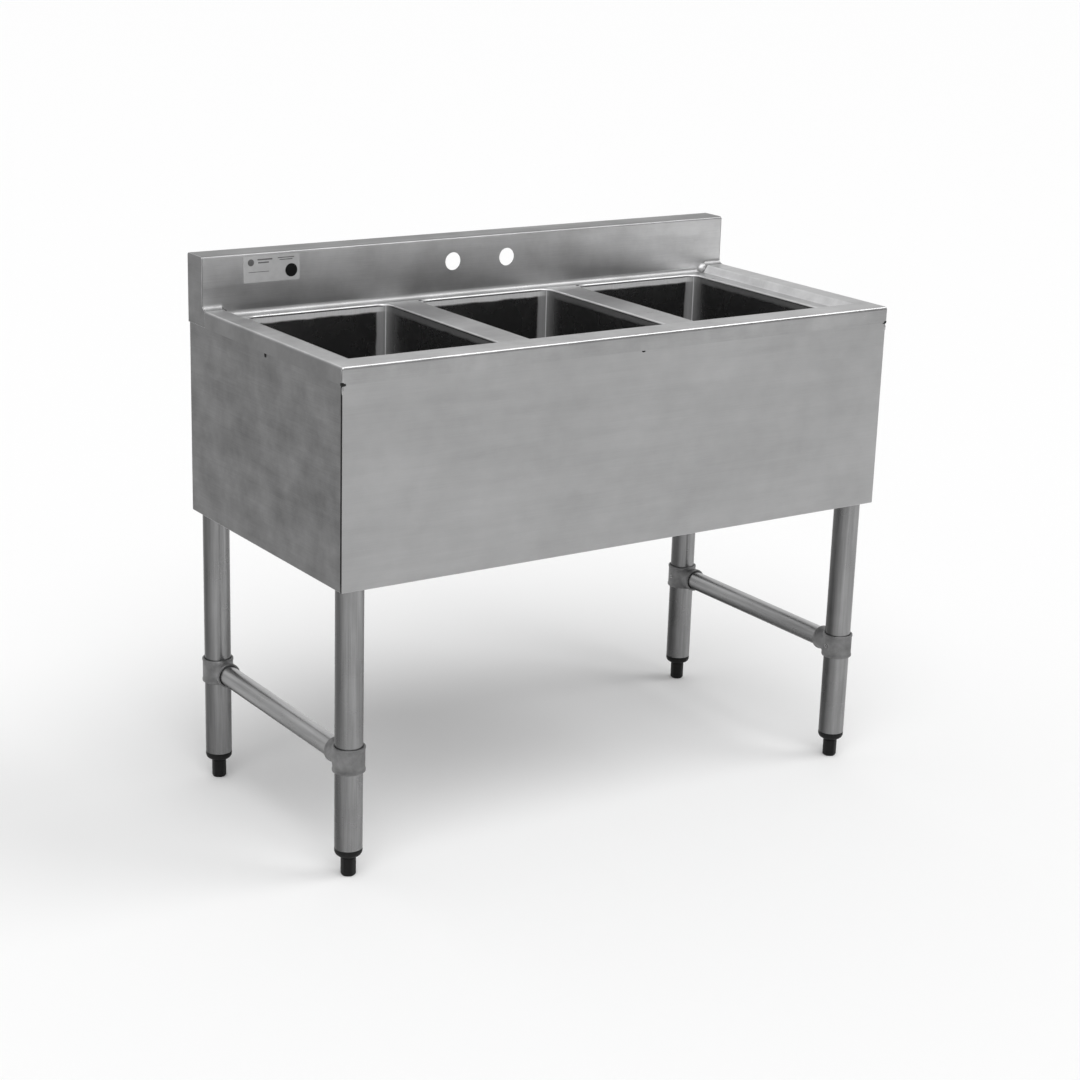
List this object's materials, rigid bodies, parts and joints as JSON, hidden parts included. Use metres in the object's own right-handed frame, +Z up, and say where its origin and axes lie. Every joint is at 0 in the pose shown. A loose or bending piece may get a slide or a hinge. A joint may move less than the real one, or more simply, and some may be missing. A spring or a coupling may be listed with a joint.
{
  "type": "three compartment sink",
  "caption": "Free-standing stainless steel bar sink: coved bowls side by side in a marine-edge deck, low backsplash, apron on three sides, tube legs with side rails and adjustable feet.",
  "frame": {"origin": "on the floor under the middle of the overall box", "axes": "+X to the right along the front, +Y to the backsplash, +Z up; the apron faces -Y"},
  "size_m": [0.978, 0.4762, 0.842],
  "materials": {
    "brushed_sheet": "brushed",
    "bowl_sheet": "satin",
    "channel_steel": "mill",
    "leg_tube": "galvanised",
    "cast_collar": "cast, dull zinc",
    "black_plastic": "moulded",
    "drain_steel": "polished",
    "gasket_rubber": "moulded",
    "locknut_metal": "die cast",
    "label": "foil sticker"
  },
  "bodies": {
    "root": {"deck": "brushed_sheet", "backsplash": "brushed_sheet", "backsplash_cap_left": "brushed_sheet", "backsplash_cap_right": "brushed_sheet", "apron_front": "brushed_sheet", "apron_left": "brushed_sheet", "apron_right": "brushed_sheet", "bowl_left": "bowl_sheet", "bowl_centre": "bowl_sheet", "bowl_right": "bowl_sheet", "rear_channel": "channel_steel", "leg_channel_left": "channel_steel", "leg_channel_right": "channel_steel", "socket_screws": "channel_steel", "collar_screws": "channel_steel", "socket_front_left": "channel_steel", "leg_front_left": "leg_tube", "collar_front_left": "cast_collar", "foot_insert_front_left": "black_plastic", "socket_front_right": "channel_steel", "leg_front_right": "leg_tube", "collar_front_right": "cast_collar", "foot_insert_front_right": "black_plastic", "socket_rear_left": "channel_steel", "leg_rear_left": "leg_tube", "collar_rear_left": "cast_collar", "foot_insert_rear_left": "black_plastic", "socket_rear_right": "channel_steel", "leg_rear_right": "leg_tube", "collar_rear_right": "cast_collar", "foot_insert_rear_right": "black_plastic", "rail_left": "leg_tube", "rail_right": "leg_tube", "drain_body_left": "drain_steel", "drain_gasket_left": "gasket_rubber", "drain_locknut_left": "locknut_metal", "drain_body_centre": "drain_steel", "drain_gasket_centre": "gasket_rubber", "drain_locknut_centre": "locknut_metal", "drain_body_right": "drain_steel", "drain_gasket_right": "gasket_rubber", "drain_locknut_right": "locknut_metal", "label_plate": "label"},
    "foot_front_left_body": {"foot_front_left": "black_plastic"},
    "foot_front_right_body": {"foot_front_right": "black_plastic"},
    "foot_rear_left_body": {"foot_rear_left": "black_plastic"},
    "foot_rear_right_body": {"foot_rear_right": "black_plastic"},
    "strainer_left_body": {"strainer_left": "drain_steel"},
    "strainer_centre_body": {"strainer_centre": "drain_steel"},
    "strainer_right_body": {"strainer_right": "drain_steel"}
  },
  "joints": [
    {"name": "foot_front_left_screw", "type": "slide", "parent": "root", "child": "foot_front_left_body", "axis": [0, 0, 1], "range_m": [-0.02, 0.01]},
    {"name": "foot_front_right_screw", "type": "slide", "parent": "root", "child": "foot_front_right_body", "axis": [0, 0, 1], "range_m": [-0.02, 0.01]},
    {"name": "foot_rear_left_screw", "type": "slide", "parent": "root", "child": "foot_rear_left_body", "axis": [0, 0, 1], "range_m": [-0.02, 0.01]},
    {"name": "foot_rear_right_screw", "type": "slide", "parent": "root", "child": "foot_rear_right_body", "axis": [0, 0, 1], "range_m": [-0.02, 0.01]},
    {"name": "strainer_left_lift", "type": "slide", "parent": "root", "child": "strainer_left_body", "axis": [0, 0, 1], "range_m": [0, 0.38]},
    {"name": "strainer_centre_lift", "type": "slide", "parent": "root", "child": "strainer_centre_body", "axis": [0, 0, 1], "range_m": [0, 0.38]},
    {"name": "strainer_right_lift", "type": "slide", "parent": "root", "child": "strainer_right_body", "axis": [0, 0, 1], "range_m": [0, 0.38]}
  ]
}
